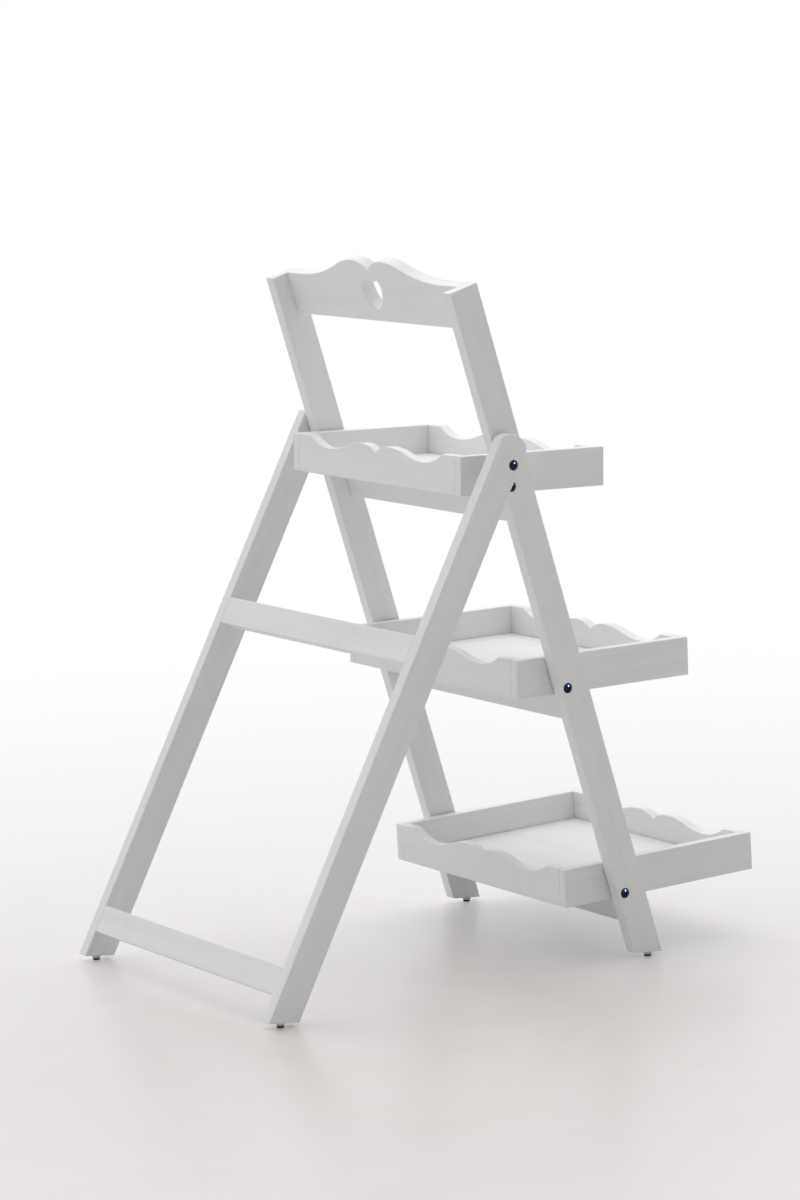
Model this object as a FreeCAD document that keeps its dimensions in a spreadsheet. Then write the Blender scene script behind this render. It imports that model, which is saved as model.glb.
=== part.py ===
import FreeCAD, Part
import math
import os
import Sketcher

# Folding step shelf: a leaning ladder with three swinging trays, and a leg frame hinged behind it.
# Millimetres. +Z is up, the trays reach out to -Y, the legs stand at +Y, and X runs across the shelf.
# The origin is on the floor, below the middle of the open shelf.

DRIVING_SIZES = (
    # Boards of the ladder and of the leg frame
    ("board_thickness", 18, "thickness of stringers, legs, crest and rails"),
    ("stringer_width", 40, "stringer, measured fore and aft across its length"),
    ("stringer_reach", 906, "floor to the top cut, along the stringer"),
    ("ladder_width", 440, "over the outer faces of the stringers"),
    ("ladder_lean", 16.2, "degrees that the stringers lean back"),
    ("leg_width", 40, "leg, measured fore and aft across its length"),
    ("leg_lean", 28, "degrees that the legs lean forward"),
    ("rail_height", 36, "height of the cross rails"),
    # Leg pivot
    ("pivot_reach", 681, "floor to the leg pivot, along the stringer"),
    ("pivot_setback", 12, "leg pivot behind the stringer's centreline"),
    ("pivot_forward", 10, "leg pivot in front of the leg's centreline"),
    ("leg_gap", 3.5, "between stringer and leg"),
    ("leg_crown", 35, "leg pivot to the top of the leg"),
    ("leg_top_radius", 24, "rounding of the leg's top"),
    ("upper_rail_drop", 258, "leg pivot to the middle of the upper rear rail"),
    ("lower_rail_rise", 52, "floor to the middle of the lower rear rail, along the leg"),
    # Feet of the uprights
    ("foot_cut", 21, "degrees off square that the feet are cut at"),
    ("foot_trim", 7, "floor to the cut, along the upright's centreline"),
    # Crest board
    ("crest_height", 56, "height of the crest board at its ends"),
    ("crest_rise", 25, "humps above the ends"),
    ("crest_hump", 34, "top of a hump from the middle"),
    ("crest_notch", 13, "depth of the notch between the humps"),
    ("crest_shoulder", 165, "where the rise starts, from the middle"),
    ("crest_crown_radius", 103, "round of a hump on its outer side"),
    ("heart_width", 43, "heart cut-out"),
    ("heart_height", 41, "heart cut-out"),
    ("heart_lobe_radius", 11.5, "upper rounds of the heart"),
    ("heart_base", 15, "lower edge of the crest to the tip of the heart"),
    # Trays
    ("tray_gap", 3, "between stringer and tray"),
    ("tray_wall", 14, "thickness of the tray walls"),
    ("tray_height", 49, "height of the tray walls"),
    ("panel_thickness", 5, "tray bottom"),
    ("panel_rise", 7, "lower edge of the tray walls to the underside of the bottom"),
    ("panel_gap", 0.5, "tray bottom to the walls, and its tongue to the end of the groove"),
    ("tongue_drop", 1, "top of the tray bottom to the top of the tongue round it"),
    ("groove_depth", 4, "grooves in the tray walls that hold the bottom"),
    ("groove_slack", 0.3, "groove above the tongue"),
    ("screw_rise", 10, "tray screw above the tray's underside"),
    ("screw_setback", 10, "tray screw behind the stringer's centreline"),
    ("bottom_tray_depth", 293, "length of the side walls"),
    ("bottom_tray_back", 76, "screw to the rear face"),
    ("bottom_tray_reach", 95, "floor to the screw, along the stringer"),
    ("bottom_tray_tilt", 2.0, "degrees that the front stands up"),
    ("middle_tray_depth", 263, "length of the side walls"),
    ("middle_tray_back", 61.5, "screw to the rear face"),
    ("middle_tray_reach", 379, "floor to the screw, along the stringer"),
    ("middle_tray_tilt", 0.4, "degrees that the front stands up"),
    ("top_tray_depth", 214, "length of the side walls"),
    ("top_tray_back", 61, "screw to the rear face"),
    ("top_tray_drop", 31, "screw below the leg pivot, along the stringer"),
    ("top_tray_tilt", -1.5, "degrees that the front stands up"),
    ("scallop_shoulder", 157, "inner end of the flat corner, from the middle"),
    ("scallop_low", 112, "lowest point of the scoop, from the middle"),
    ("scallop_depth", 13.5, "depth of the scoop"),
    ("scallop_hump", 30, "top of a hump from the middle"),
    ("scallop_hump_drop", 0.8, "humps below the flat corners"),
    ("scallop_notch", 10, "depth of the notch between the humps"),
    # Hardware
    ("shank_diameter", 6, "pivot bolts and tray screws"),
    ("head_diameter", 13, "domed heads"),
    ("head_height", 2.8, "domed heads"),
    ("socket_flats", 4, "hexagon socket of the heads, across its flats"),
    ("socket_depth", 1.9, "hexagon socket of the heads"),
    ("shank_clearance", 0.1, "round a shank that a piece turns on"),
    ("running_gap", 0.2, "beside a face that turns or rests"),
    ("screw_bite_margin", 1, "wood left behind a screw's or bolt's tip"),
    ("tee_nut_barrel", 8, "outer diameter of the tee nut's barrel"),
    ("tee_nut_depth", 12, "length of the tee nut's barrel"),
    ("tee_nut_flange", 15, "diameter of the tee nut's flange"),
    ("tee_nut_sheet", 1.2, "thickness of the tee nut's flange"),
    ("leg_washer_diameter", 18, "spacer between stringer and leg"),
    ("tray_washer_diameter", 16, "spacer between stringer and tray"),
    ("tenon_thickness", 8, "tenons of the rails and the crest"),
    ("tenon_depth", 11, "tenons of the rails and the crest"),
    ("rail_tenon_margin", 6, "rail above and below its tenon"),
    ("crest_tenon_margin", 12, "crest above and below its tenon, at its ends"),
    ("brad_width", 1.6, "brads of the trays"),
    ("brad_thickness", 1.3, "brads of the trays"),
    ("brad_length", 30, "brads of the trays"),
    ("brad_set", 1, "brad head below the surface"),
    ("brad_pitch", 24, "between the two brads of a tray corner"),
    ("glide_diameter", 13, "rim of the glide under each upright"),
    ("glide_base_diameter", 9, "lower end of the glide and its pad"),
    ("glide_taper_top", 5, "floor to the upper end of the glide's taper"),
    ("glide_pad_height", 2.6, "dark pad under the glide"),
    ("glide_forward", 3, "glide in front of the upright's centreline at the floor"),
    ("nail_side", 2.2, "square nail that holds a glide"),
    ("nail_length", 24, "square nail that holds a glide"),
)

TRAYS = ("bottom", "middle", "top")
SIDES = ("left", "right")

doc = FreeCAD.newDocument("step_shelf")
sheet = doc.addObject("Spreadsheet::Sheet", "sizes")
for row, (alias, number, meaning) in enumerate(DRIVING_SIZES, start=1):
    sheet.set(f"A{row}", alias)
    sheet.set(f"B{row}", str(number))
    sheet.setAlias(f"B{row}", alias)
    sheet.set(f"C{row}", meaning)
doc.recompute()

pieces = []


def value(expression):
    """Number that an expression on the sheet gives."""
    return float(sheet.evalExpression(expression))


def size(alias):
    return value(f"sizes.{alias}")


def radians(alias):
    return math.radians(size(alias))


# Expressions that several pieces share
HALF_LADDER = "sizes.ladder_width / 2"
INNER_FACE = "(sizes.ladder_width / 2 - sizes.board_thickness)"
LEG_INNER_FACE = "(sizes.ladder_width / 2 + sizes.leg_gap)"
LEG_OUTER_FACE = f"({LEG_INNER_FACE} + sizes.board_thickness)"
RAIL_BACK = "(sizes.stringer_width / 2 - sizes.board_thickness)"
LEG_BACK = "(sizes.pivot_forward + sizes.leg_width / 2)"
LEG_FRONT = "(sizes.pivot_forward - sizes.leg_width / 2)"
TRAY_HALF = f"({INNER_FACE} - sizes.tray_gap)"
TRAY_INSIDE = f"({TRAY_HALF} - sizes.tray_wall)"
TONGUE_HEIGHT = "(sizes.panel_thickness - sizes.tongue_drop)"
GROOVE_INSET = "(sizes.tray_wall - sizes.groove_depth)"
SHANK_HOLE = "(sizes.shank_diameter + 2 * sizes.shank_clearance)"
CREST_BASE = "(sizes.stringer_reach - sizes.crest_height)"
LADDER_RAIL_MIDDLE = "(sizes.board_thickness / 2 - sizes.stringer_width / 2)"
PIVOT_HEIGHT = ("(sizes.pivot_reach * cos(sizes.ladder_lean)"
                " - sizes.pivot_setback * sin(sizes.ladder_lean))")
LEG_FLOOR = f"(-({PIVOT_HEIGHT} + sizes.pivot_forward * sin(sizes.leg_lean)) / cos(sizes.leg_lean))"
TRAY_REACH = {
    "bottom": "sizes.bottom_tray_reach",
    "middle": "sizes.middle_tray_reach",
    "top": "(sizes.pivot_reach - sizes.top_tray_drop)",
}


def stringer_foot(setback):
    """Height on the ladder of a stringer's foot cut, behind its centreline by setback."""
    return f"(sizes.foot_trim + {setback} * tan(sizes.foot_cut))"


def leg_foot(setback):
    """Height in the leg's frame of its foot cut, behind the pivot by setback."""
    return f"({LEG_FLOOR} + sizes.foot_trim - ({setback} - sizes.pivot_forward) * tan(sizes.foot_cut))"


# Frames of the assemblies

def turned(degrees, y, z):
    """Placement turned about X, with its origin at y, z."""
    spin = FreeCAD.Rotation(FreeCAD.Vector(1, 0, 0), degrees)
    return FreeCAD.Placement(FreeCAD.Vector(0, y, z), spin)


def ladder_point(setback, reach):
    """World y and z of a point of the ladder, from the stringer's floor point."""
    lean = radians("ladder_lean")
    y = setback * math.cos(lean) + reach * math.sin(lean)
    z = reach * math.cos(lean) - setback * math.sin(lean)
    return y, z


def front_reach():
    """Foremost point of the shelf: the lower front edge of the bottom tray."""
    tilt = radians("bottom_tray_tilt")
    screw_y = ladder_point(size("screw_setback"), value(TRAY_REACH["bottom"]))[0]
    overhang = size("bottom_tray_depth") - size("bottom_tray_back")
    return screw_y - overhang * math.cos(tilt) - size("screw_rise") * math.sin(tilt)


def rear_reach():
    """Rearmost point of the shelf: the lower rear edge of a leg."""
    return leg_point_y(value(LEG_BACK), value(leg_foot(LEG_BACK)))


def leg_point_y(setback, height):
    """World y of a point of the leg's frame, from the stringer's floor point."""
    lean = radians("leg_lean")
    pivot_y = ladder_point(size("pivot_setback"), size("pivot_reach"))[0]
    return pivot_y + setback * math.cos(lean) - height * math.sin(lean)


FLOOR_Y = -(front_reach() + rear_reach()) / 2


def ladder_frame(setback=0.0, reach=0.0):
    """Frame along the stringers: local z runs up the ladder and local y to the rear."""
    y, z = ladder_point(setback, reach)
    return turned(-size("ladder_lean"), FLOOR_Y + y, z)


def pivot_frame():
    return ladder_frame(size("pivot_setback"), size("pivot_reach"))


def leg_frame():
    """Frame of the legs, with its origin on the pivot and local z up the leg."""
    y, z = ladder_point(size("pivot_setback"), size("pivot_reach"))
    return turned(size("leg_lean"), FLOOR_Y + y, z)


def screw_frame(tray):
    return ladder_frame(size("screw_setback"), value(TRAY_REACH[tray]))


def tray_frame(tray):
    """Frame of a tray, with its origin on the screws and local z square to the tray's bottom."""
    y, z = ladder_point(size("screw_setback"), value(TRAY_REACH[tray]))
    return turned(-size(f"{tray}_tray_tilt"), FLOOR_Y + y, z)


# Sketch helpers

def new_body(name, frame):
    body = doc.addObject("PartDesign::Body", name)
    body.Placement = frame
    return body


def origin_plane(body, role):
    return next(item for item in body.Origin.OriginFeatures if item.Role == role)


def new_sketch(body, role, offset="0"):
    """Sketch on one of the body's own planes, moved along the plane's normal by an expression."""
    sketch = body.newObject("Sketcher::SketchObject", f"{body.Name}_sketch")
    sketch.AttachmentSupport = (origin_plane(body, role), [""])
    sketch.MapMode = "FlatFace"
    sketch.setExpression("AttachmentOffset.Base.z", offset)
    return sketch


def bind(sketch, expression, kind, *elements):
    """Constraint of a sketch whose size is an expression."""
    index = sketch.addConstraint(Sketcher.Constraint(kind, *elements, value(expression)))
    sketch.renameConstraint(index, f"size_{index}")
    sketch.setExpression(f"Constraints.size_{index}", expression)


def place(sketch, geometry, point, across, up):
    bind(sketch, across, "DistanceX", -1, 1, geometry, point)
    bind(sketch, up, "DistanceY", -1, 1, geometry, point)


def at(across, up):
    return FreeCAD.Vector(value(across), value(up), 0)


def line(sketch, start, end):
    return sketch.addGeometry(Part.LineSegment(start, end))


def arc(sketch, centre, radius, start, end):
    """Arc that runs counter-clockwise from one angle to another, in radians."""
    whole = Part.Circle(centre, FreeCAD.Vector(0, 0, 1), radius)
    return sketch.addGeometry(Part.ArcOfCircle(whole, start, end))


def join(sketch, first, first_point, second, second_point):
    sketch.addConstraint(Sketcher.Constraint("Coincident", first, first_point, second, second_point))


def polygon(sketch, corners):
    """Closed outline through corners that are pairs of expressions."""
    points = [at(across, up) for across, up in corners]
    count = len(points)
    edges = [line(sketch, points[i], points[(i + 1) % count]) for i in range(count)]
    for i in range(count):
        join(sketch, edges[i], 2, edges[(i + 1) % count], 1)
    for edge, (across, up) in zip(edges, corners):
        place(sketch, edge, 1, across, up)


def circle(sketch, across, up, diameter):
    round_edge = Part.Circle(at(across, up), FreeCAD.Vector(0, 0, 1), value(diameter) / 2)
    geometry = sketch.addGeometry(round_edge)
    place(sketch, geometry, 3, across, up)
    bind(sketch, diameter, "Diameter", geometry)


# Feature helpers

def pad(body, sketch, length, symmetric=False):
    feature = body.newObject("PartDesign::Pad", f"{body.Name}_pad")
    feature.Profile = sketch
    feature.setExpression("Length", length)
    if symmetric:
        feature.SideType = "Symmetric"
    return feature


def cut_through(body, sketch):
    feature = body.newObject("PartDesign::Pocket", f"{body.Name}_pocket")
    feature.Profile = sketch
    feature.Type = "ThroughAll"
    feature.SideType = "Symmetric"
    return feature


def revolve(body, sketch, axis):
    feature = body.newObject("PartDesign::Revolution", f"{body.Name}_revolution")
    feature.Profile = sketch
    feature.ReferenceAxis = (sketch, [axis])
    feature.Angle = 360
    return feature


def mirror(body, *features):
    """Repeats features on the other side of the shelf."""
    feature = body.newObject("PartDesign::Mirrored", f"{body.Name}_mirror")
    feature.Originals = list(features)
    feature.MirrorPlane = (origin_plane(body, "YZ_Plane"), [""])
    body.Tip = feature
    return feature


def group(name, members):
    compound = doc.addObject("Part::Compound", name)
    compound.Links = members
    return compound


def cut(name, base, *tools):
    """Takes the room of other pieces out of a piece."""
    result = base
    for tool in tools:
        feature = doc.addObject("Part::Cut", name)
        feature.Base = result
        feature.Tool = tool
        result = feature
    return result


def keep(label, shape_object):
    """Names a finished piece, whose label names its file."""
    shape_object.Label = label
    pieces.append(shape_object)


# Scalloped outline of one half of a board: flat end, rise to a hump, and half of the notch in the middle

def scalloped_half(sketch, half, base, top, low, hump, notch, scoop_end=None, crown_radius=None):
    """Points are pairs of expressions: low is where the rise to the hump starts, with a level tangent.
    With scoop_end, a scoop runs from low up to that corner of the flat. crown_radius rounds the hump's outer
    side, and without it that round equals the one at the foot of the rise."""
    low_point, hump_point, notch_point = at(*low), at(*hump), at(*notch)
    run = low_point.x - hump_point.x
    climb = hump_point.y - low_point.y
    turn = 2 * math.atan2(climb, run)
    both_radii = run / math.sin(turn)
    crown = value(crown_radius) if crown_radius else both_radii / 2
    foot = both_radii - crown
    sag = hump_point.y - notch_point.y
    inner = (hump_point.x ** 2 + sag ** 2) / (2 * sag)
    quarter = math.pi / 2
    flat_end = scoop_end or low

    bottom = line(sketch, at("0", base), at(half, base))
    end = line(sketch, at(half, base), at(half, top))
    flat = line(sketch, at(half, top), at(*flat_end))
    rise = arc(sketch, low_point + FreeCAD.Vector(0, foot, 0), foot, -quarter - turn, -quarter)
    crown_centre = hump_point - FreeCAD.Vector(0, crown, 0)
    outer_round = arc(sketch, crown_centre, crown, quarter - turn, quarter)
    inner_centre = hump_point - FreeCAD.Vector(0, inner, 0)
    notch_angle = math.atan2(notch_point.y - inner_centre.y, notch_point.x - inner_centre.x)
    inner_round = arc(sketch, inner_centre, inner, quarter, notch_angle)
    middle = line(sketch, notch_point, at("0", base))

    join(sketch, bottom, 2, end, 1)
    join(sketch, end, 2, flat, 1)
    join(sketch, outer_round, 2, inner_round, 1)
    join(sketch, inner_round, 2, middle, 1)
    join(sketch, middle, 2, bottom, 1)
    sketch.addConstraint(Sketcher.Constraint("Tangent", rise, 1, outer_round, 1))
    place(sketch, bottom, 1, "0", base)
    place(sketch, bottom, 2, half, base)
    place(sketch, end, 2, half, top)
    place(sketch, rise, 2, *low)
    place(sketch, outer_round, 2, *hump)
    place(sketch, inner_round, 2, *notch)
    bind(sketch, low[0], "DistanceX", -1, 1, rise, 3)
    bind(sketch, hump[0], "DistanceX", -1, 1, outer_round, 3)
    bind(sketch, hump[0], "DistanceX", -1, 1, inner_round, 3)
    if crown_radius:
        bind(sketch, crown_radius, "Radius", outer_round)
    else:
        sketch.addConstraint(Sketcher.Constraint("Equal", rise, outer_round))
    if scoop_end:
        corner = at(*scoop_end)
        reach = corner.x - low_point.x
        depth = corner.y - low_point.y
        radius = (reach ** 2 + depth ** 2) / (2 * depth)
        centre = low_point + FreeCAD.Vector(0, radius, 0)
        corner_angle = math.atan2(corner.y - centre.y, corner.x - centre.x)
        scoop = arc(sketch, centre, radius, -quarter, corner_angle)
        join(sketch, scoop, 1, rise, 2)
        join(sketch, scoop, 2, flat, 2)
        place(sketch, scoop, 2, *scoop_end)
        bind(sketch, low[0], "DistanceX", -1, 1, scoop, 3)
    else:
        join(sketch, flat, 2, rise, 2)


# Domed head on a shank, along local X, with the head outwards on the left side

def domed_shank(sketch, seat, tip):
    """seat is where the head's underside is, and tip where the shank ends, as distances from the middle."""
    radius = "sizes.shank_diameter / 2"
    rim = "sizes.head_diameter / 2"
    apex = f"-({seat} + sizes.head_height)"
    under = f"-({seat})"
    inner = f"-({tip})"
    rim_size = value(rim)
    dome_height = size("head_height")
    dome = (rim_size ** 2 + dome_height ** 2) / (2 * dome_height)
    centre = at(apex, "0") + FreeCAD.Vector(dome, 0, 0)
    rim_angle = math.atan2(rim_size, value(under) - centre.x)
    corners = ((apex, "0"), (inner, "0"), (inner, radius), (under, radius), (under, rim))
    points = [at(*corner) for corner in corners]
    edges = [line(sketch, points[i], points[i + 1]) for i in range(len(points) - 1)]
    for first, second in zip(edges, edges[1:]):
        join(sketch, first, 2, second, 1)
    crown = arc(sketch, centre, dome, rim_angle, math.pi)
    join(sketch, edges[-1], 2, crown, 1)
    join(sketch, crown, 2, edges[0], 1)
    for edge, corner in zip(edges, corners):
        place(sketch, edge, 1, *corner)
    place(sketch, edges[-1], 2, *corners[-1])
    sketch.addConstraint(Sketcher.Constraint("PointOnObject", crown, 3, -1))


def add_tenons(body, middle, low, high, face):
    """Tenons on both ends of a cross board: middle of its thickness, lower and upper edge of the tenon, and
    the upright's face that the board butts against."""
    front = f"({middle} - sizes.tenon_thickness / 2)"
    rear = f"({middle} + sizes.tenon_thickness / 2)"
    section = new_sketch(body, "YZ_Plane")
    polygon(section, ((front, low), (rear, low), (rear, high), (front, high)))
    pad(body, section, f"2 * ({face} + sizes.tenon_depth)", symmetric=True)


# Ladder

def stringer_blank(side):
    """Leaning upright, cut on the slant at the foot and square at the top, bored for the pivots."""
    body = new_body(f"{side}_stringer_blank", ladder_frame())
    start = f"-{HALF_LADDER}" if side == "left" else INNER_FACE
    rear = "(sizes.stringer_width / 2)"
    front = "(-sizes.stringer_width / 2)"
    outline = new_sketch(body, "YZ_Plane", start)
    polygon(outline, (
        (front, stringer_foot(front)),
        (rear, stringer_foot(rear)),
        (rear, "sizes.stringer_reach"),
        (front, "sizes.stringer_reach"),
    ))
    pad(body, outline, "sizes.board_thickness")
    holes = new_sketch(body, "YZ_Plane")
    for tray in TRAYS:
        circle(holes, "sizes.screw_setback", TRAY_REACH[tray], SHANK_HOLE)
    circle(holes, "sizes.pivot_setback", "sizes.pivot_reach", "sizes.tee_nut_barrel")
    cut_through(body, holes)
    return body


def crest_body():
    """Board between the stringers' tops, flush with their fronts, with two humps and a heart."""
    body = new_body("crest_body", ladder_frame())
    top = "sizes.stringer_reach"
    peak = f"({top} + sizes.crest_rise)"
    outline = new_sketch(body, "XZ_Plane", RAIL_BACK)
    scalloped_half(
        outline, half=INNER_FACE, base=CREST_BASE, top=top,
        low=("sizes.crest_shoulder", top), hump=("sizes.crest_hump", peak),
        notch=("0", f"{peak} - sizes.crest_notch"), crown_radius="sizes.crest_crown_radius")
    mirror(body, pad(body, outline, "sizes.board_thickness"))
    low = f"({CREST_BASE} + sizes.crest_tenon_margin)"
    high = f"({top} - sizes.crest_tenon_margin)"
    add_tenons(body, LADDER_RAIL_MIDDLE, low, high, INNER_FACE)
    doc.recompute()
    heart = new_sketch(body, "XZ_Plane")
    heart_outline(heart)
    cut_through(body, heart)
    return body


def heart_outline(sketch):
    """Two round lobes, with fuller rounds that run on from their outer ends and meet at the tip."""
    tip_up = f"({CREST_BASE} + sizes.heart_base)"
    lobe_across = "(sizes.heart_width / 2 - sizes.heart_lobe_radius)"
    lobe_up = f"({tip_up} + sizes.heart_height - sizes.heart_lobe_radius)"
    radius = size("heart_lobe_radius")
    right_centre = at(lobe_across, lobe_up)
    left_centre = at(f"-{lobe_across}", lobe_up)
    dip_angle = math.acos(-right_centre.x / radius)
    half = size("heart_width") / 2
    drop = right_centre.y - value(tip_up)
    side_radius = (half ** 2 + drop ** 2) / (2 * half)
    side_inset = FreeCAD.Vector(side_radius - half, 0, 0)
    side_level = at("0", lobe_up)
    tip_angle = math.atan2(-drop, side_inset.x)

    right_lobe = arc(sketch, right_centre, radius, 0, dip_angle)
    left_lobe = arc(sketch, left_centre, radius, math.pi - dip_angle, math.pi)
    left_side = arc(sketch, side_level + side_inset, side_radius, math.pi, math.pi - tip_angle)
    right_side = arc(sketch, side_level - side_inset, side_radius, tip_angle, 0)
    join(sketch, right_lobe, 2, left_lobe, 1)
    join(sketch, left_side, 2, right_side, 1)
    sketch.addConstraint(Sketcher.Constraint("Tangent", left_lobe, 2, left_side, 1))
    sketch.addConstraint(Sketcher.Constraint("Tangent", right_side, 2, right_lobe, 1))
    sketch.addConstraint(Sketcher.Constraint("Equal", right_lobe, left_lobe))
    bind(sketch, "sizes.heart_lobe_radius", "Radius", right_lobe)
    place(sketch, right_lobe, 3, lobe_across, lobe_up)
    place(sketch, left_lobe, 3, f"-{lobe_across}", lobe_up)
    bind(sketch, lobe_up, "DistanceY", -1, 1, right_lobe, 1)
    bind(sketch, lobe_up, "DistanceY", -1, 1, left_lobe, 2)
    place(sketch, right_side, 1, "0", tip_up)


def underside(tray, setback):
    """Height on the ladder of the seat under a tray, at a distance behind the stringer's centreline."""
    slope = f"(sizes.ladder_lean - sizes.{tray}_tray_tilt)"
    below = f"(sizes.screw_rise + sizes.running_gap) / cos({slope})"
    return f"({TRAY_REACH[tray]} - {below} + ({setback} - sizes.screw_setback) * tan({slope}))"


def rail_foot(tray):
    return f"({underside(tray, '(-sizes.stringer_width / 2)')} - sizes.rail_height)"


def tray_rail(tray):
    """Rail that a tray rests on, flush with the stringers' fronts, its top planed to the tray's slope."""
    body = new_body(f"{tray}_tray_rail_body", ladder_frame())
    rear = f"-{RAIL_BACK}"
    front = "-sizes.stringer_width / 2"
    section = new_sketch(body, "YZ_Plane")
    polygon(section, (
        (front, rail_foot(tray)),
        (rear, rail_foot(tray)),
        (rear, underside(tray, f"({rear})")),
        (front, underside(tray, f"({front})")),
    ))
    pad(body, section, f"2 * {INNER_FACE}", symmetric=True)
    low = f"({rail_foot(tray)} + sizes.rail_tenon_margin)"
    high = f"({rail_foot(tray)} + sizes.rail_height - sizes.rail_tenon_margin)"
    add_tenons(body, LADDER_RAIL_MIDDLE, low, high, INNER_FACE)
    return body


# Leg frame

def leg_blank(side):
    """Leg outside the stringer, round at the top and cut on the slant at the foot, bored for the pivot."""
    body = new_body(f"{side}_leg_blank", leg_frame())
    start = f"-{LEG_OUTER_FACE}" if side == "left" else LEG_INNER_FACE
    front_foot = (LEG_FRONT, leg_foot(LEG_FRONT))
    rear_foot = (LEG_BACK, leg_foot(LEG_BACK))
    centre = ("sizes.pivot_forward", "(sizes.leg_crown - sizes.leg_top_radius)")
    radius = size("leg_top_radius")
    corner_angle = math.acos(size("leg_width") / 2 / radius)
    corner_up = f"({centre[1]} + sqrt(sizes.leg_top_radius ^ 2 - (sizes.leg_width / 2) ^ 2))"

    outline = new_sketch(body, "YZ_Plane", start)
    bottom = line(outline, at(*front_foot), at(*rear_foot))
    rear = line(outline, at(*rear_foot), at(LEG_BACK, corner_up))
    top = arc(outline, at(*centre), radius, corner_angle, math.pi - corner_angle)
    front = line(outline, at(LEG_FRONT, corner_up), at(*front_foot))
    for first, second in ((bottom, rear), (rear, top), (top, front), (front, bottom)):
        join(outline, first, 2, second, 1)
    outline.addConstraint(Sketcher.Constraint("Vertical", rear))
    outline.addConstraint(Sketcher.Constraint("Vertical", front))
    place(outline, bottom, 1, *front_foot)
    place(outline, bottom, 2, *rear_foot)
    place(outline, top, 3, *centre)
    bind(outline, "sizes.leg_top_radius", "Radius", top)
    pad(body, outline, "sizes.board_thickness")
    hole = new_sketch(body, "YZ_Plane")
    circle(hole, "0", "0", SHANK_HOLE)
    cut_through(body, hole)
    return body


def leg_rail(name, height):
    """Rail between the legs, flush with their rear edges, with its middle at a height in the leg's frame."""
    body = new_body(f"{name}_body", leg_frame())
    front = f"({LEG_BACK} - sizes.board_thickness)"
    low = f"({height} - sizes.rail_height / 2)"
    high = f"({height} + sizes.rail_height / 2)"
    section = new_sketch(body, "YZ_Plane")
    polygon(section, ((front, low), (LEG_BACK, low), (LEG_BACK, high), (front, high)))
    pad(body, section, f"2 * {LEG_INNER_FACE}", symmetric=True)
    middle = f"({LEG_BACK} - sizes.board_thickness / 2)"
    tenon_low = f"({low} + sizes.rail_tenon_margin)"
    tenon_high = f"({high} - sizes.rail_tenon_margin)"
    add_tenons(body, middle, tenon_low, tenon_high, LEG_INNER_FACE)
    return body


# Pivot hardware

def turned_pair(name, frame, draw):
    """Round piece about local X on the left side, and its twin on the right."""
    body = new_body(name, frame)
    profile = new_sketch(body, "XY_Plane")
    draw(profile)
    mirror(body, revolve(body, profile, "H_Axis"))
    return body


def washer_profile(inner_face, outer_face, diameter):
    """Ring between two distances from the middle of the shelf."""
    bore = f"{SHANK_HOLE} / 2"
    rim = f"{diameter} / 2"
    near = f"-({inner_face})"
    far = f"-({outer_face})"
    return lambda sketch: polygon(sketch, ((far, bore), (near, bore), (near, rim), (far, rim)))


def tee_nut_profile(sketch):
    """Threaded barrel in the stringer, with its flange on the stringer's inner face."""
    thread = "sizes.shank_diameter / 2"
    barrel = "sizes.tee_nut_barrel / 2"
    flange = "sizes.tee_nut_flange / 2"
    deep = f"-({INNER_FACE} + sizes.tee_nut_depth)"
    face = f"-{INNER_FACE}"
    outside = f"-({INNER_FACE} - sizes.tee_nut_sheet)"
    polygon(sketch, (
        (deep, thread), (outside, thread), (outside, flange),
        (face, flange), (face, barrel), (deep, barrel),
    ))


def socket_pair(name, frame, seat):
    """Room for a hexagon key in a pair of domed heads."""
    flat = "(sizes.socket_flats / 2)"
    low_corner = "(sizes.socket_flats / 2 * tan(30))"
    high_corner = "(sizes.socket_flats / 2 / cos(30))"
    body = new_body(name, frame)
    hexagon = new_sketch(body, "YZ_Plane", f"-({seat} + sizes.head_height)")
    polygon(hexagon, (
        (flat, f"-{low_corner}"), (flat, low_corner), ("0", high_corner),
        (f"-{flat}", low_corner), (f"-{flat}", f"-{low_corner}"), ("0", f"-{high_corner}"),
    ))
    mirror(body, pad(body, hexagon, "sizes.socket_depth"))
    return body


def domed_pair(name, frame, seat, tip):
    """Domed bolts or screws with hexagon sockets, one on each side."""
    blanks = turned_pair(f"{name}_blanks", frame, lambda sketch: domed_shank(sketch, seat, tip))
    return cut(name, blanks, socket_pair(f"{name}_sockets", frame, seat))


# Trays

def tray_span(tray):
    """Rear and front faces of a tray and its lower and upper edges, in the tray's own frame."""
    rear = f"sizes.{tray}_tray_back"
    front = f"(sizes.{tray}_tray_back - sizes.{tray}_tray_depth)"
    return rear, front, "(-sizes.screw_rise)", "(sizes.tray_height - sizes.screw_rise)"


def scalloped_wall(name, frame, offset):
    """Front or rear wall between the side walls: flat ends, a scoop on each side, two humps and a notch."""
    body = new_body(name, frame)
    base = "(-sizes.screw_rise)"
    top = "(sizes.tray_height - sizes.screw_rise)"
    peak = f"({top} - sizes.scallop_hump_drop)"
    outline = new_sketch(body, "XZ_Plane", offset)
    scalloped_half(
        outline, half=TRAY_INSIDE, base=base, top=top,
        low=("sizes.scallop_low", f"{top} - sizes.scallop_depth"), hump=("sizes.scallop_hump", peak),
        notch=("0", f"{peak} - sizes.scallop_notch"), scoop_end=("sizes.scallop_shoulder", top))
    mirror(body, pad(body, outline, "sizes.tray_wall"))
    return body


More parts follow.
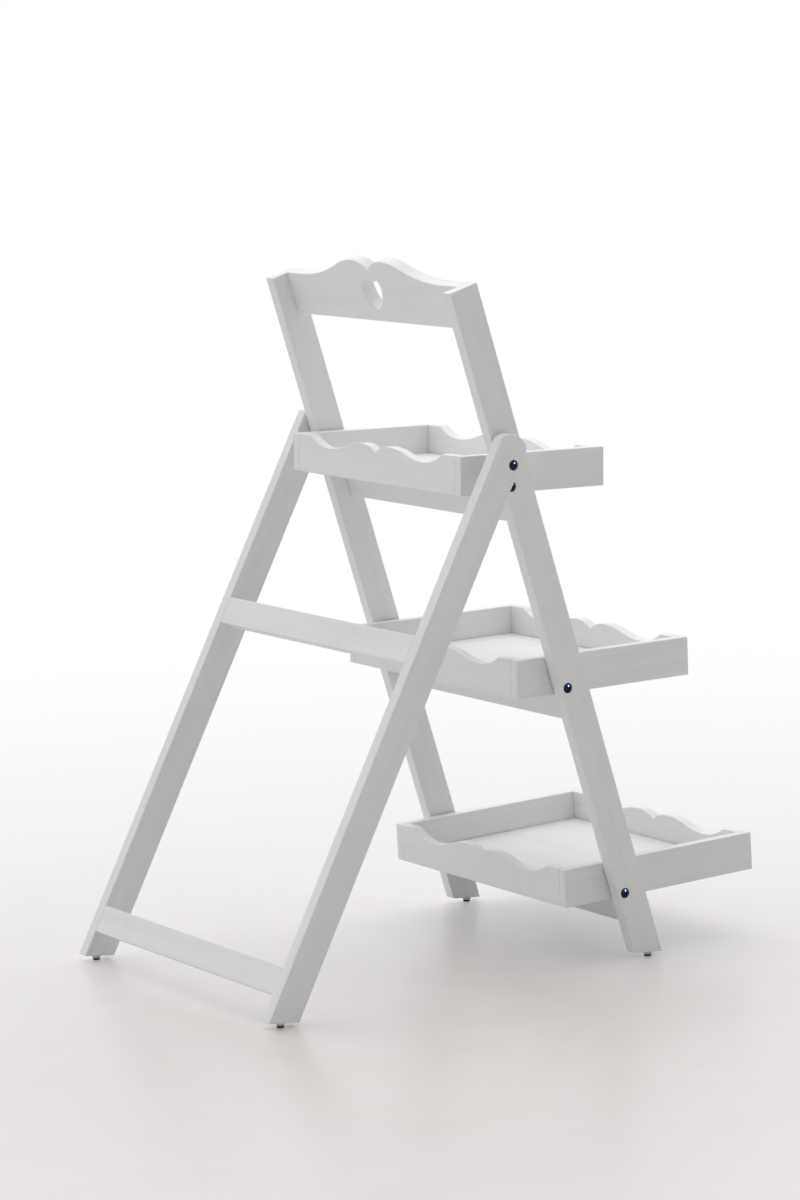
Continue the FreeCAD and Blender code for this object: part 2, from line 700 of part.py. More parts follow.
def tray_side_blank(tray, side):
    """Side wall over the whole depth of a tray."""
    body = new_body(f"{tray}_tray_{side}_side_blank", tray_frame(tray))
    rear, front, low, high = tray_span(tray)
    start = f"-{TRAY_HALF}" if side == "left" else TRAY_INSIDE
    outline = new_sketch(body, "YZ_Plane", start)
    polygon(outline, ((front, low), (rear, low), (rear, high), (front, high)))
    pad(body, outline, "sizes.tray_wall")
    return body


def add_slab(body, tray, inset, thickness):
    """Flat slab at the level of a tray's bottom, inset from the outer faces of the walls."""
    rear, front, low, high = tray_span(tray)
    under = f"({low} + sizes.panel_rise)"
    upper = f"({under} + {thickness})"
    section = new_sketch(body, "YZ_Plane")
    polygon(section, (
        (f"({front} + {inset})", under), (f"({rear} - {inset})", under),
        (f"({rear} - {inset})", upper), (f"({front} + {inset})", upper),
    ))
    pad(body, section, f"2 * ({TRAY_HALF} - {inset})", symmetric=True)


def tray_groove(tray):
    """Room for the tongue of a tray's bottom in the four walls."""
    body = new_body(f"{tray}_tray_groove", tray_frame(tray))
    add_slab(body, tray, GROOVE_INSET, f"({TONGUE_HEIGHT} + sizes.groove_slack)")
    return body


def tray_panel(tray):
    """Tray bottom: a tongue all round, that lies in the grooves, and a raised field between the walls."""
    body = new_body(f"{tray}_tray_panel_body", tray_frame(tray))
    add_slab(body, tray, f"({GROOVE_INSET} + sizes.panel_gap)", TONGUE_HEIGHT)
    add_slab(body, tray, "(sizes.tray_wall + sizes.panel_gap)", "sizes.panel_thickness")
    return body


def brad_head(sketch, along, up):
    """Section of one brad about a point."""
    rear = f"({along} + sizes.brad_width / 2)"
    front = f"({along} - sizes.brad_width / 2)"
    low = f"({up} - sizes.brad_thickness / 2)"
    high = f"({up} + sizes.brad_thickness / 2)"
    polygon(sketch, ((front, low), (rear, low), (rear, high), (front, high)))


def tray_brads(tray):
    """Brads driven through the side walls into the ends of the scalloped walls, above the bottom."""
    body = new_body(f"{tray}_tray_brad_body", tray_frame(tray))
    rear, front, low, high = tray_span(tray)
    middle = f"({low} + (sizes.panel_rise + sizes.panel_thickness + sizes.tray_height) / 2)"
    heads = new_sketch(body, "YZ_Plane", f"-({TRAY_HALF} - sizes.brad_set)")
    for along in (f"({rear} - sizes.tray_wall / 2)", f"({front} + sizes.tray_wall / 2)"):
        for sign in ("-", "+"):
            brad_head(heads, along, f"({middle} {sign} sizes.brad_pitch / 2)")
    mirror(body, pad(body, heads, "sizes.brad_length"))
    return body


# Glides under the uprights

def turned_foot(name, spot, corners):
    """Round piece about the vertical at a spot on the floor."""
    body = new_body(name, FreeCAD.Placement(spot, FreeCAD.Rotation()))
    profile = new_sketch(body, "XZ_Plane")
    polygon(profile, corners)
    revolve(body, profile, "V_Axis")
    return body


def glide_set(name, across, foot_y, uprights):
    """Glides, pads and nails under a pair of uprights, at a distance on each side of the middle. They stand a
    little in front of the place where the uprights' centreline meets the floor."""
    glides, pads, nails = [], [], []
    base = "sizes.glide_base_diameter / 2"
    rim = "sizes.glide_diameter / 2"
    inside_upright = "(sizes.foot_trim + sizes.glide_diameter / 2)"
    for side, sign in zip(SIDES, (-1, 1)):
        spot = FreeCAD.Vector(sign * value(across), foot_y - size("glide_forward"), 0)
        pads.append(turned_foot(f"{side}_{name}_pad", spot, (
            ("0", "0"), (base, "0"), (base, "sizes.glide_pad_height"), ("0", "sizes.glide_pad_height"),
        )))
        glides.append(turned_foot(f"{side}_{name}_glide", spot, (
            ("0", "sizes.glide_pad_height"), (base, "sizes.glide_pad_height"), (rim, "sizes.glide_taper_top"),
            (rim, inside_upright), ("0", inside_upright),
        )))
        nail = doc.addObject("Part::Box", f"{side}_{name}_nail")
        nail.setExpression("Length", "sizes.nail_side")
        nail.setExpression("Width", "sizes.nail_side")
        nail.setExpression("Height", "sizes.nail_length")
        half = size("nail_side") / 2
        corner = FreeCAD.Vector(-half, -half, size("glide_pad_height"))
        nail.Placement = FreeCAD.Placement(spot + corner, FreeCAD.Rotation())
        nails.append(nail)
    nail_pair = group(f"{name}_nail_pair", nails)
    glide_pair = cut(f"{name}_glide_cut", group(f"{name}_glide_pair", glides), nail_pair, *uprights)
    keep(f"{name}_glides", glide_pair)
    keep(f"{name}_glide_pads", group(f"{name}_pad_pair", pads))
    keep(f"{name}_glide_nails", nail_pair)
    return nail_pair


# The ladder
stringers = [stringer_blank(side) for side in SIDES]
stringer_middle = f"({HALF_LADDER} - sizes.board_thickness / 2)"
stringer_nails = glide_set("stringer", stringer_middle, FLOOR_Y, stringers)
crest = crest_body()
tray_rails = [tray_rail(tray) for tray in TRAYS]
for side, stringer in zip(SIDES, stringers):
    keep(f"{side}_stringer", cut(f"{side}_stringer_cut", stringer, crest, *tray_rails, stringer_nails))
keep("crest_board", crest)
for tray, rail in zip(TRAYS, tray_rails):
    keep(f"{tray}_tray_rail", rail)
keep("tee_nuts", turned_pair("tee_nut_pair", pivot_frame(), tee_nut_profile))
bolt_seat = f"({LEG_OUTER_FACE} + sizes.running_gap)"
bolt_tip = f"({INNER_FACE} + sizes.screw_bite_margin)"
keep("leg_pivot_bolts", domed_pair("pivot_bolt_pair", pivot_frame(), bolt_seat, bolt_tip))
leg_washer = washer_profile(HALF_LADDER, f"{LEG_INNER_FACE} - sizes.running_gap", "sizes.leg_washer_diameter")
keep("leg_spacer_washers", turned_pair("leg_washer_pair", pivot_frame(), leg_washer))
tray_washer = washer_profile(f"{TRAY_HALF} + sizes.running_gap", INNER_FACE, "sizes.tray_washer_diameter")
washers = [turned_pair(f"{tray}_tray_washer_pair", screw_frame(tray), tray_washer) for tray in TRAYS]
keep("tray_spacer_washers", group("tray_washer_group", washers))

# The leg frame
legs = [leg_blank(side) for side in SIDES]
leg_middle = f"({LEG_INNER_FACE} + sizes.board_thickness / 2)"
leg_foot_y = FLOOR_Y + leg_point_y(size("pivot_forward"), value(LEG_FLOOR))
leg_nails = glide_set("leg", leg_middle, leg_foot_y, legs)
upper_rail = leg_rail("upper_leg_rail", "(-sizes.upper_rail_drop)")
lower_rail = leg_rail("lower_leg_rail", f"({LEG_FLOOR} + sizes.lower_rail_rise)")
for side, leg in zip(SIDES, legs):
    keep(f"{side}_leg", cut(f"{side}_leg_cut", leg, upper_rail, lower_rail, leg_nails))
keep("upper_leg_rail", upper_rail)
keep("lower_leg_rail", lower_rail)

# The trays
screw_seat = f"({HALF_LADDER} + sizes.running_gap)"
screw_tip = f"({TRAY_INSIDE} + sizes.groove_depth + sizes.screw_bite_margin)"
for tray in TRAYS:
    rear, front, low, high = tray_span(tray)
    frame = tray_frame(tray)
    brads = tray_brads(tray)
    screws = domed_pair(f"{tray}_tray_screw_pair", frame, screw_seat, screw_tip)
    groove = tray_groove(tray)
    rear_wall = scalloped_wall(f"{tray}_tray_rear_wall_blank", frame, f"-{rear}")
    front_wall = scalloped_wall(f"{tray}_tray_front_wall_blank", frame, f"-({front} + sizes.tray_wall)")
    keep(f"{tray}_tray_rear_wall", cut(f"{tray}_tray_rear_wall_cut", rear_wall, groove, brads))
    keep(f"{tray}_tray_front_wall", cut(f"{tray}_tray_front_wall_cut", front_wall, groove, brads))
    for side in SIDES:
        blank = tray_side_blank(tray, side)
        keep(f"{tray}_tray_{side}_side", cut(f"{tray}_tray_{side}_side_cut", blank, groove, brads, screws))
    keep(f"{tray}_tray_panel", tray_panel(tray))
    keep(f"{tray}_tray_screws", screws)
    keep(f"{tray}_tray_brads", brads)

# Build, test and write the pieces
doc.recompute()
for item in doc.Objects:
    if "Invalid" in item.State or "Error" in item.State:
        raise RuntimeError(f"{item.Label} failed to build: {item.State}")
for piece in pieces:
    if piece.Shape.isNull() or not piece.Shape.isValid() or not piece.Shape.Solids:
        raise RuntimeError(f"{piece.Label} has no valid solid")
os.makedirs("parts", exist_ok=True)
for piece in pieces:
    piece.Shape.exportStep(f"parts/{piece.Label}.step")
    box = piece.Shape.BoundBox
    print(f"{piece.Label}: {len(piece.Shape.Solids)} solid(s), {piece.Shape.Volume / 1000:.2f} cm3, "
          f"x {box.XMin:.1f} to {box.XMax:.1f}, y {box.YMin:.1f} to {box.YMax:.1f}, "
          f"z {box.ZMin:.1f} to {box.ZMax:.1f}")
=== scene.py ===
import math

import bpy
import numpy as np
from mathutils import Matrix, Vector


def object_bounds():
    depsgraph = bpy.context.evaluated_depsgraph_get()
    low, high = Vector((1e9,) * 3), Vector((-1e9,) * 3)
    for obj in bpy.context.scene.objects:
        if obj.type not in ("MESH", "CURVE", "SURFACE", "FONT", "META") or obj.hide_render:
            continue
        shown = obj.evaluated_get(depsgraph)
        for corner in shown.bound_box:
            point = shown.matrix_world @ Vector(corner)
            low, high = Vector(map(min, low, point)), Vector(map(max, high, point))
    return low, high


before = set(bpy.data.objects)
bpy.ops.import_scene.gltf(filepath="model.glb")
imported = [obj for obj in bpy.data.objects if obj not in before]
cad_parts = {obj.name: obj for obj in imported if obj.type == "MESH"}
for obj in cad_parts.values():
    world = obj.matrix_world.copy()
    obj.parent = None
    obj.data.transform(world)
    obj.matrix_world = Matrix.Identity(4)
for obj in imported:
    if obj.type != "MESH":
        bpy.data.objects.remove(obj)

cad_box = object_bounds()

# Sizes in metres
MM = 0.001
EASED_EDGE = 1.2 * MM
PANEL_EDGE = 0.4 * MM
SHORTEST_EASED = 1.0 * MM
WELD_REACH = 0.01 * MM
EDGE_WEAR_REACH = 2.5 * MM
FLOOR_HALF = 40.0

# Angles in degrees, and steps across an eased edge
FLAT_FACE_ANGLE = 0.4
SHARP_EDGE_ANGLE = 32.0
EASED_STEPS = 3

# Name of the mark on the edges that are eased, and name endings of the nodes with domed heads
EASE_MARK = "bevel_weight_edge"
HEADED = ("_tray_screws", "_pivot_bolts")

# Camera of the photograph: an image 800 wide and 1200 tall, seen from behind and to the left
CAMERA_PLACE = Vector((-4.6204, 2.9198, 1.2643))
CAMERA_HEADING = -32.09
CAMERA_PITCH = 8.391
CAMERA_ROLL = 1.853
SENSOR_HEIGHT_MM = 36.0
LENS_MM = 129.734

# Colours, as linear red, green and blue
PAINT = (0.868, 0.882, 0.876, 1.0)
PAINT_SHADE = (0.812, 0.822, 0.808, 1.0)
PRIMER = (0.60, 0.57, 0.52, 1.0)
HEAD_BLUE = (0.004, 0.014, 0.040, 1.0)
HEAD_BLACK = (0.0015, 0.005, 0.014, 1.0)
ZINC = (0.62, 0.63, 0.64, 1.0)
ZINC_DULL = (0.45, 0.46, 0.47, 1.0)
GLIDE_WHITE = (0.70, 0.69, 0.66, 1.0)
GLIDE_SCUFF = (0.52, 0.50, 0.46, 1.0)
RUBBER = (0.018, 0.017, 0.016, 1.0)
RUBBER_DUST = (0.075, 0.070, 0.064, 1.0)
FLOOR = (0.76, 0.726, 0.713, 1.0)
FLOOR_SHADE = (0.735, 0.699, 0.685, 1.0)
WHITE = (1.0, 1.0, 1.0, 1.0)

# Patterns of the boards, as features in a metre: twice across the grain, and along it
FIGURE_PATTERN = (95.0, 95.0, 2.2)
FIBRE_PATTERN = (620.0, 620.0, 8.0)
PORE_PATTERN = (1300.0, 1300.0, 45.0)
MOTTLE_PATTERN = (22.0, 22.0, 9.0)
SCUFF_PATTERN = (160.0, 160.0, 60.0)

# Patterns of the small pieces and the floor, as features in a metre along x, y and z
HEAD_CLOUDS = (260.0, 260.0, 260.0)
HEAD_GRIT = (1900.0, 1900.0, 1900.0)
ZINC_PATCHES = (150.0, 150.0, 150.0)
ZINC_SCRATCHES = (90.0, 2200.0, 2200.0)
GLIDE_SCUFFS = (420.0, 420.0, 420.0)
GLIDE_GRAIN = (2600.0, 2600.0, 2600.0)
PAD_DUST = (600.0, 600.0, 900.0)
FLOOR_MOTTLE = (9.0, 9.0, 9.0)

# Where an effect starts and where it is full, in a pattern whose values run from 0 to 1
FIGURE_RANGE = (0.42, 0.75)
CLOUD_RANGE = (0.45, 0.80)
SCUFF_RANGE = (0.50, 0.72)
PORE_RANGE = (0.66, 0.74)
HEAD_RANGE = (0.35, 0.70)
ZINC_RANGE = (0.40, 0.70)
GLIDE_RANGE = (0.48, 0.72)
DUST_RANGE = (0.50, 0.80)
FLOOR_RANGE = (0.35, 0.75)

# The same for an edge, by how far its rounded normal agrees with the flat one
EDGE_RANGE = (0.995, 0.90)

# Roughness, from the start to the end of a pattern
PAINT_ROUGHNESS = (0.40, 0.58)
HEAD_ROUGHNESS = (0.10, 0.20)
PLATE_ROUGHNESS = (0.26, 0.46)
NAIL_ROUGHNESS = (0.34, 0.54)
GLIDE_ROUGHNESS = (0.42, 0.62)
PAD_ROUGHNESS = (0.62, 0.85)
FLOOR_ROUGHNESS = (0.27, 0.31)

# Clear coat of the heads
HEAD_COAT = 0.25
HEAD_COAT_ROUGHNESS = 0.06

# Relief, as its strength and its depth in metres
PAINT_RELIEF = (0.3, 0.2 * MM)
HEAD_RELIEF = (0.12, 0.05 * MM)
ZINC_RELIEF = (0.2, 0.04 * MM)
GLIDE_RELIEF = (0.25, 0.05 * MM)
PAD_RELIEF = (0.3, 0.08 * MM)

# Shares of the paint's effects, and heights in its relief against each other
STREAK_SHARE = (0.2, 0.9)
CLOUD_SHARE = 0.45
EDGE_WEAR_SHARE = 0.45
FIBRE_HEIGHT = 0.7
FIGURE_HEIGHT = 0.45
PORE_HEIGHT = 0.5

# Light levels of the sky, and the side that it is brightest on
SKY_BRIGHT = 1.28
SKY_DIM = 0.0
SKY_SIDE = Vector((0.84, -0.10, 0.25))

# Lamps: place and size in metres, and power in watts
KEY_PLACE = (0.7, -0.8, 3.0)
KEY_SIZE = 3.2
KEY_WATTS = 30.0
SIDE_PLACE = (-2.6, -1.6, 2.1)
SIDE_SIZE = 0.6
SIDE_WATTS = 5.0
GLINT_PLACE = (-2.4, -1.5, 1.7)
GLINT_SIZE = 1.1
GLINT_WATTS = 320.0

# Floor's fade to white: its middle, towards the camera, and its start and end from there, in metres
FADE_MIDDLE = 0.5
FADE_RANGE = (-0.4, 3.2)


def add(tree, kind, inputs=None, **settings):
    """A node of that kind, with its settings, and with its inputs set to values or linked to sockets."""
    made = tree.nodes.new(kind)
    for name, setting in settings.items():
        setattr(made, name, setting)
    for name, given in (inputs or {}).items():
        if isinstance(given, bpy.types.NodeSocket):
            tree.links.new(given, made.inputs[name])
        else:
            made.inputs[name].default_value = given
    return made


def new_material(name):
    """A material, the tree that its nodes go in, and its shader."""
    material = bpy.data.materials.new(name)
    material.use_nodes = True
    tree = material.node_tree
    return material, tree, tree.nodes["Principled BSDF"]


def math_node(tree, operation, first, second):
    return add(tree, "ShaderNodeMath", {0: first, 1: second}, operation=operation).outputs[0]


def ramp(tree, source, low, high):
    """Source taken from low to high onto 0 to 1, smoothly and clamped."""
    inputs = {"Value": source, "From Min": low, "From Max": high}
    return add(tree, "ShaderNodeMapRange", inputs, interpolation_type="SMOOTHSTEP").outputs["Result"]


def between(tree, source, low, high):
    """Source, which runs from 0 to 1, taken onto low to high."""
    inputs = {"Value": source, "To Min": low, "To Max": high}
    return add(tree, "ShaderNodeMapRange", inputs).outputs["Result"]


def mix_colour(tree, share, first, second):
    """First where share is 0 and second where it is 1. The sockets have numbers, as several share a name."""
    return add(tree, "ShaderNodeMix", {0: share, 6: first, 7: second}, data_type="RGBA").outputs[2]


def noise(tree, place, per_metre, detail=3.0, roughness=0.55, distortion=0.0):
    """Noise with so many features in a metre along each direction of place."""
    stretched = add(tree, "ShaderNodeMapping", {"Vector": place, "Scale": per_metre}).outputs[0]
    inputs = {
        "Vector": stretched, "Scale": 1.0, "Detail": detail, "Roughness": roughness, "Distortion": distortion,
    }
    return add(tree, "ShaderNodeTexNoise", inputs).outputs[0]


def object_place(tree):
    return add(tree, "ShaderNodeTexCoord").outputs["Object"]


def tint(tree, shader, colour):
    tree.links.new(colour, shader.inputs["Base Color"])


def roughen(tree, shader, pattern, span):
    """Roughness that follows a pattern from one end of span to the other."""
    tree.links.new(between(tree, pattern, *span), shader.inputs["Roughness"])


def emboss(tree, shader, height, relief):
    strength, depth = relief
    bump = add(tree, "ShaderNodeBump", {"Height": height, "Strength": strength, "Distance": depth})
    tree.links.new(bump.outputs[0], shader.inputs["Normal"])


def edge_share(tree, reach):
    """About 1 on a piece's outer edges and 0 on its flat faces."""
    rounded = add(tree, "ShaderNodeBevel", {"Radius": reach}, samples=4).outputs[0]
    flat = add(tree, "ShaderNodeNewGeometry").outputs["Normal"]
    alike = add(tree, "ShaderNodeVectorMath", {0: rounded, 1: flat}, operation="DOT_PRODUCT").outputs["Value"]
    return ramp(tree, alike, *EDGE_RANGE)


def painted_wood(name, grain):
    """White satin paint, brushed on along the board, over wood whose grain shows through a little."""
    material, tree, shader = new_material(name)
    turn = grain.rotation_difference(Vector((0.0, 0.0, 1.0))).to_euler()
    board = add(tree, "ShaderNodeMapping", {"Vector": object_place(tree), "Rotation": turn}).outputs[0]
    figure = noise(tree, board, FIGURE_PATTERN, detail=3.0, distortion=0.7)
    fibre = noise(tree, board, FIBRE_PATTERN, detail=4.0, roughness=0.65)
    pores = noise(tree, board, PORE_PATTERN, detail=2.0)
    mottle = noise(tree, board, MOTTLE_PATTERN, detail=5.0)
    scuff = noise(tree, board, SCUFF_PATTERN, detail=4.0, roughness=0.7)

    fibres = between(tree, fibre, *STREAK_SHARE)
    streak = math_node(tree, "MULTIPLY", ramp(tree, figure, *FIGURE_RANGE), fibres)
    clouds = math_node(tree, "MULTIPLY", ramp(tree, mottle, *CLOUD_RANGE), CLOUD_SHARE)
    painted = mix_colour(tree, math_node(tree, "ADD", streak, clouds), PAINT, PAINT_SHADE)
    worn = math_node(tree, "MULTIPLY", edge_share(tree, EDGE_WEAR_REACH), ramp(tree, scuff, *SCUFF_RANGE))
    rubbed = math_node(tree, "MULTIPLY", worn, EDGE_WEAR_SHARE)
    tint(tree, shader, mix_colour(tree, rubbed, painted, PRIMER))
    roughen(tree, shader, mottle, PAINT_ROUGHNESS)

    sunk = math_node(tree, "MULTIPLY", ramp(tree, pores, *PORE_RANGE), PORE_HEIGHT)
    ridges = math_node(tree, "MULTIPLY", fibre, FIBRE_HEIGHT)
    waves = math_node(tree, "MULTIPLY", figure, FIGURE_HEIGHT)
    height = math_node(tree, "ADD", math_node(tree, "SUBTRACT", ridges, sunk), waves)
    emboss(tree, shader, height, PAINT_RELIEF)
    return material


def blued_steel():
    """Dark blue heads, polished, with a thin clear coat and faint cloudy patches."""
    material, tree, shader = new_material("blued_steel")
    place = object_place(tree)
    cloud = noise(tree, place, HEAD_CLOUDS, detail=4.0)
    grit = noise(tree, place, HEAD_GRIT, detail=2.0)
    tint(tree, shader, mix_colour(tree, ramp(tree, cloud, *HEAD_RANGE), HEAD_BLUE, HEAD_BLACK))
    roughen(tree, shader, cloud, HEAD_ROUGHNESS)
    emboss(tree, shader, grit, HEAD_RELIEF)
    shader.inputs["Metallic"].default_value = 1.0
    shader.inputs["Coat Weight"].default_value = HEAD_COAT
    shader.inputs["Coat Roughness"].default_value = HEAD_COAT_ROUGHNESS
    return material


def zinc_plate(name, roughness):
    """Zinc-plated steel with fine scratches and dull patches."""
    material, tree, shader = new_material(name)
    place = object_place(tree)
    dull = noise(tree, place, ZINC_PATCHES, detail=5.0)
    scratch = noise(tree, place, ZINC_SCRATCHES, detail=3.0)
    tint(tree, shader, mix_colour(tree, ramp(tree, dull, *ZINC_RANGE), ZINC, ZINC_DULL))
    roughen(tree, shader, dull, roughness)
    emboss(tree, shader, scratch, ZINC_RELIEF)
    shader.inputs["Metallic"].default_value = 1.0
    return material


def moulded_plastic():
    """Off-white glides, scuffed where they slide."""
    material, tree, shader = new_material("glide_plastic")
    place = object_place(tree)
    scuff = noise(tree, place, GLIDE_SCUFFS, detail=5.0, roughness=0.7)
    grain = noise(tree, place, GLIDE_GRAIN, detail=2.0)
    tint(tree, shader, mix_colour(tree, ramp(tree, scuff, *GLIDE_RANGE), GLIDE_WHITE, GLIDE_SCUFF))
    roughen(tree, shader, scuff, GLIDE_ROUGHNESS)
    emboss(tree, shader, grain, GLIDE_RELIEF)
    return material


def floor_rubber():
    """Black rubber pads with a little dust from the floor."""
    material, tree, shader = new_material("pad_rubber")
    dust = noise(tree, object_place(tree), PAD_DUST, detail=5.0, roughness=0.7)
    tint(tree, shader, mix_colour(tree, ramp(tree, dust, *DUST_RANGE), RUBBER, RUBBER_DUST))
    roughen(tree, shader, dust, PAD_ROUGHNESS)
    emboss(tree, shader, dust, PAD_RELIEF)
    return material


def long_axis(piece):
    """The direction in which a board is longest."""
    points = np.array([vertex.co for vertex in piece.data.vertices])
    spread = np.linalg.eigh(np.cov((points - points.mean(axis=0)).T))[1]
    axis = Vector(spread[:, -1])
    return axis if max(axis, key=abs) > 0 else -axis


def mesh_group(name):
    """A group of nodes that changes a mesh, and the mesh that it is given."""
    group = bpy.data.node_groups.new(name, "GeometryNodeTree")
    group.interface.new_socket("Geometry", in_out="INPUT", socket_type="NodeSocketGeometry")
    group.interface.new_socket("Geometry", in_out="OUTPUT", socket_type="NodeSocketGeometry")
    return group, add(group, "NodeGroupInput").outputs[0]


def crease(group, mesh, sharp):
    """The mesh without its own normals, shaded smooth except at the edges that sharp picks."""
    inputs = {"Mesh": mesh, "Remove Custom": True, "Edge Sharpness": sharp, "Face Sharpness": False}
    return add(group, "GeometryNodeSetMeshNormal", inputs, mode="SHARPNESS").outputs[0]


def seam_cleaner():
    """Joins the faces' shared points, so that the piece is one surface whose edges can be eased."""
    group, given = mesh_group("joined_faces")
    merged = add(group, "GeometryNodeMergeByDistance", {"Geometry": given, "Distance": WELD_REACH})
    add(group, "NodeGroupOutput", {0: crease(group, merged.outputs[0], False)})
    return group


def edge_marker():
    """Marks the edges to ease, which stick out and aren't short ones round a bore. The rest stay sharp."""
    group, given = mesh_group("outer_edges")
    angles = add(group, "GeometryNodeInputMeshEdgeAngle").outputs
    ends = add(group, "GeometryNodeInputMeshEdgeVertices").outputs
    span = {0: ends["Position 1"], 1: ends["Position 2"]}
    length = add(group, "ShaderNodeVectorMath", span, operation="DISTANCE").outputs["Value"]
    limit = math.radians(SHARP_EDGE_ANGLE)
    steep = math_node(group, "GREATER_THAN", angles["Unsigned Angle"], limit)
    outward = math_node(group, "GREATER_THAN", angles["Signed Angle"], limit)
    eased = math_node(group, "MULTIPLY", outward, math_node(group, "GREATER_THAN", length, SHORTEST_EASED))
    mark = {"Geometry": given, "Name": EASE_MARK, "Value": eased}
    marked = add(group, "GeometryNodeStoreNamedAttribute", mark, data_type="FLOAT", domain="EDGE")
    kept = math_node(group, "SUBTRACT", steep, eased)
    add(group, "NodeGroupOutput", {0: crease(group, marked.outputs[0], kept)})
    return group


def ease_edges(piece, joined, marker, width):
    """Rounds a board's edges as sanding and paint leave them."""
    piece.modifiers.new("joined", "NODES").node_group = joined
    flat = piece.modifiers.new("flat_faces", "DECIMATE")
    flat.decimate_type = "DISSOLVE"
    flat.angle_limit = math.radians(FLAT_FACE_ANGLE)
    piece.modifiers.new("marked", "NODES").node_group = marker
    eased = piece.modifiers.new("eased", "BEVEL")
    eased.width = width
    eased.segments = EASED_STEPS
    eased.limit_method = "WEIGHT"
    eased.edge_weight = EASE_MARK
    eased.harden_normals = True
    eased.use_clamp_overlap = False


def dress(piece, material):
    """Gives every slot of a piece one material."""
    for slot in piece.material_slots:
        slot.material = material


def dress_nodes():
    """Gives every node the look of its material slot, and eases the edges of the boards."""
    looks = {
        "dark_heads": blued_steel(),
        "plated_steel": zinc_plate("zinc_plate", PLATE_ROUGHNESS),
        "nail_steel": zinc_plate("nail_steel", NAIL_ROUGHNESS),
        "glide_plastic": moulded_plastic(),
        "dark_rubber": floor_rubber(),
    }
    joined = seam_cleaner()
    marker = edge_marker()
    boards = {}
    for name, piece in sorted(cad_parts.items()):
        slot = piece.material_slots[0].material.name
        if slot in looks:
            dress(piece, looks[slot])
            continue
        axis = long_axis(piece)
        lie = tuple(round(part, 1) for part in axis)
        if lie not in boards:
            boards[lie] = painted_wood(f"painted_wood_{len(boards) + 1}", axis)
        dress(piece, boards[lie])
        ease_edges(piece, joined, marker, PANEL_EDGE if name.endswith("_panel") else EASED_EDGE)


def seen_share(tree):
    """1 for what the camera, a mirror or a glass surface sees, and 0 for light that falls on the object."""
    path = add(tree, "ShaderNodeLightPath").outputs
    mirrored = math_node(tree, "MAXIMUM", path["Is Glossy Ray"], path["Is Transmission Ray"])
    return math_node(tree, "MAXIMUM", path["Is Camera Ray"], mirrored)


def studio_world():
    """White where it is seen, and for the light on the object brighter on one side than on the other."""
    world = bpy.data.worlds.new("studio")
    bpy.context.scene.world = world
    world.use_nodes = True
    tree = world.node_tree
    background = tree.nodes["Background"]
    background.inputs["Color"].default_value = WHITE
    direction = add(tree, "ShaderNodeTexCoord").outputs["Generated"]
    facing = add(tree, "ShaderNodeVectorMath", {0: direction, 1: SKY_SIDE}, operation="DOT_PRODUCT")
    inputs = {
        "Value": facing.outputs["Value"], "From Min": -1.0, "To Min": SKY_DIM, "To Max": SKY_BRIGHT,
    }
    sky = add(tree, "ShaderNodeMapRange", inputs).outputs["Result"]
    tree.links.new(between(tree, seen_share(tree), sky, 1.0), background.inputs["Strength"])


def studio_floor():
    """A pale floor that keeps the shadow and fades to white with distance."""
    mesh = bpy.data.meshes.new("studio_floor")
    corners = [(x * FLOOR_HALF, y * FLOOR_HALF, 0.0) for x, y in ((-1, -1), (1, -1), (1, 1), (-1, 1))]
    mesh.from_pydata(corners, [], [(0, 1, 2, 3)])
    floor = bpy.data.objects.new("studio_floor", mesh)
    bpy.context.scene.collection.objects.link(floor)

    material, tree, shader = new_material("studio_floor")
    place = object_place(tree)
    mottle = noise(tree, place, FLOOR_MOTTLE, detail=6.0, roughness=0.6)
    tint(tree, shader, mix_colour(tree, ramp(tree, mottle, *FLOOR_RANGE), FLOOR, FLOOR_SHADE))
    roughen(tree, shader, mottle, FLOOR_ROUGHNESS)

    towards_camera = Vector((CAMERA_PLACE.x, CAMERA_PLACE.y, 0.0)).normalized()
    ends = {0: place, 1: towards_camera * FADE_MIDDLE}
    away = add(tree, "ShaderNodeVectorMath", ends, operation="DISTANCE").outputs["Value"]
    fade = math_node(tree, "MULTIPLY", ramp(tree, away, *FADE_RANGE), seen_share(tree))
    white = add(tree, "ShaderNodeEmission", {"Color": WHITE, "Strength": 1.0}).outputs[0]
    mixed = add(tree, "ShaderNodeMixShader", {0: fade, 1: shader.outputs[0], 2: white}).outputs[0]
    tree.links.new(mixed, tree.nodes["Material Output"].inputs["Surface"])
    mesh.materials.append(material)


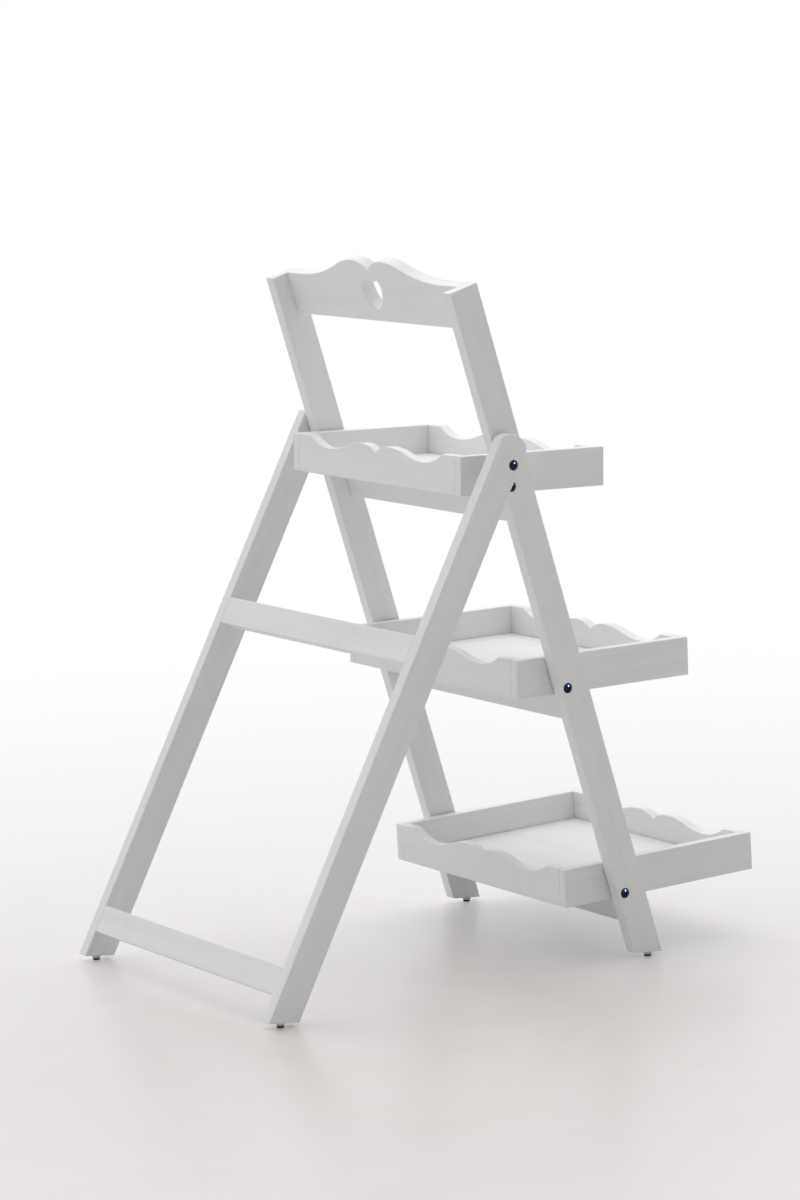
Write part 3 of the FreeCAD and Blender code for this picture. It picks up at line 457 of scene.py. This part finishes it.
def soft_lamp(name, place, size, watts, target, only=None):
    """A square lamp that faces the target, and lights every piece or only those given."""
    lamp = bpy.data.lights.new(name, "AREA")
    lamp.shape = "SQUARE"
    lamp.size = size
    lamp.energy = watts
    holder = bpy.data.objects.new(name, lamp)
    holder.location = place
    holder.rotation_euler = (target - Vector(place)).to_track_quat("-Z", "Y").to_euler()
    bpy.context.scene.collection.objects.link(holder)
    if only:
        lit = bpy.data.collections.new(f"{name}_lit")
        for piece in only:
            lit.objects.link(piece)
        holder.light_linking.receiver_collection = lit


def photo_camera():
    """Placed by heading, pitch and roll, so that the object falls where the photograph has it."""
    heading, pitch, roll = (math.radians(angle) for angle in (CAMERA_HEADING, CAMERA_PITCH, CAMERA_ROLL))
    forward = Vector((
        math.cos(heading) * math.cos(pitch),
        math.sin(heading) * math.cos(pitch),
        -math.sin(pitch),
    ))
    right = forward.cross(Vector((0.0, 0.0, 1.0))).normalized()
    down = forward.cross(right)
    across = right * math.cos(roll) + down * math.sin(roll)
    upward = right * math.sin(roll) - down * math.cos(roll)
    lens = bpy.data.cameras.new("photo_camera")
    lens.sensor_fit = "VERTICAL"
    lens.sensor_height = SENSOR_HEIGHT_MM
    lens.lens = LENS_MM
    camera = bpy.data.objects.new("photo_camera", lens)
    axes = Matrix((across, upward, -forward)).transposed()
    camera.matrix_world = Matrix.Translation(CAMERA_PLACE) @ axes.to_4x4()
    bpy.context.scene.collection.objects.link(camera)
    bpy.context.scene.camera = camera


dress_nodes()
studio_world()
studio_floor()
middle = (Vector(cad_box[0]) + Vector(cad_box[1])) / 2
soft_lamp("key", KEY_PLACE, KEY_SIZE, KEY_WATTS, middle)
soft_lamp("side", SIDE_PLACE, SIDE_SIZE, SIDE_WATTS, middle)
heads = [piece for name, piece in sorted(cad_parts.items()) if name.endswith(HEADED)]
soft_lamp("glint", GLINT_PLACE, GLINT_SIZE, GLINT_WATTS, middle, only=heads)
photo_camera()
bpy.context.scene.view_settings.view_transform = "Standard"
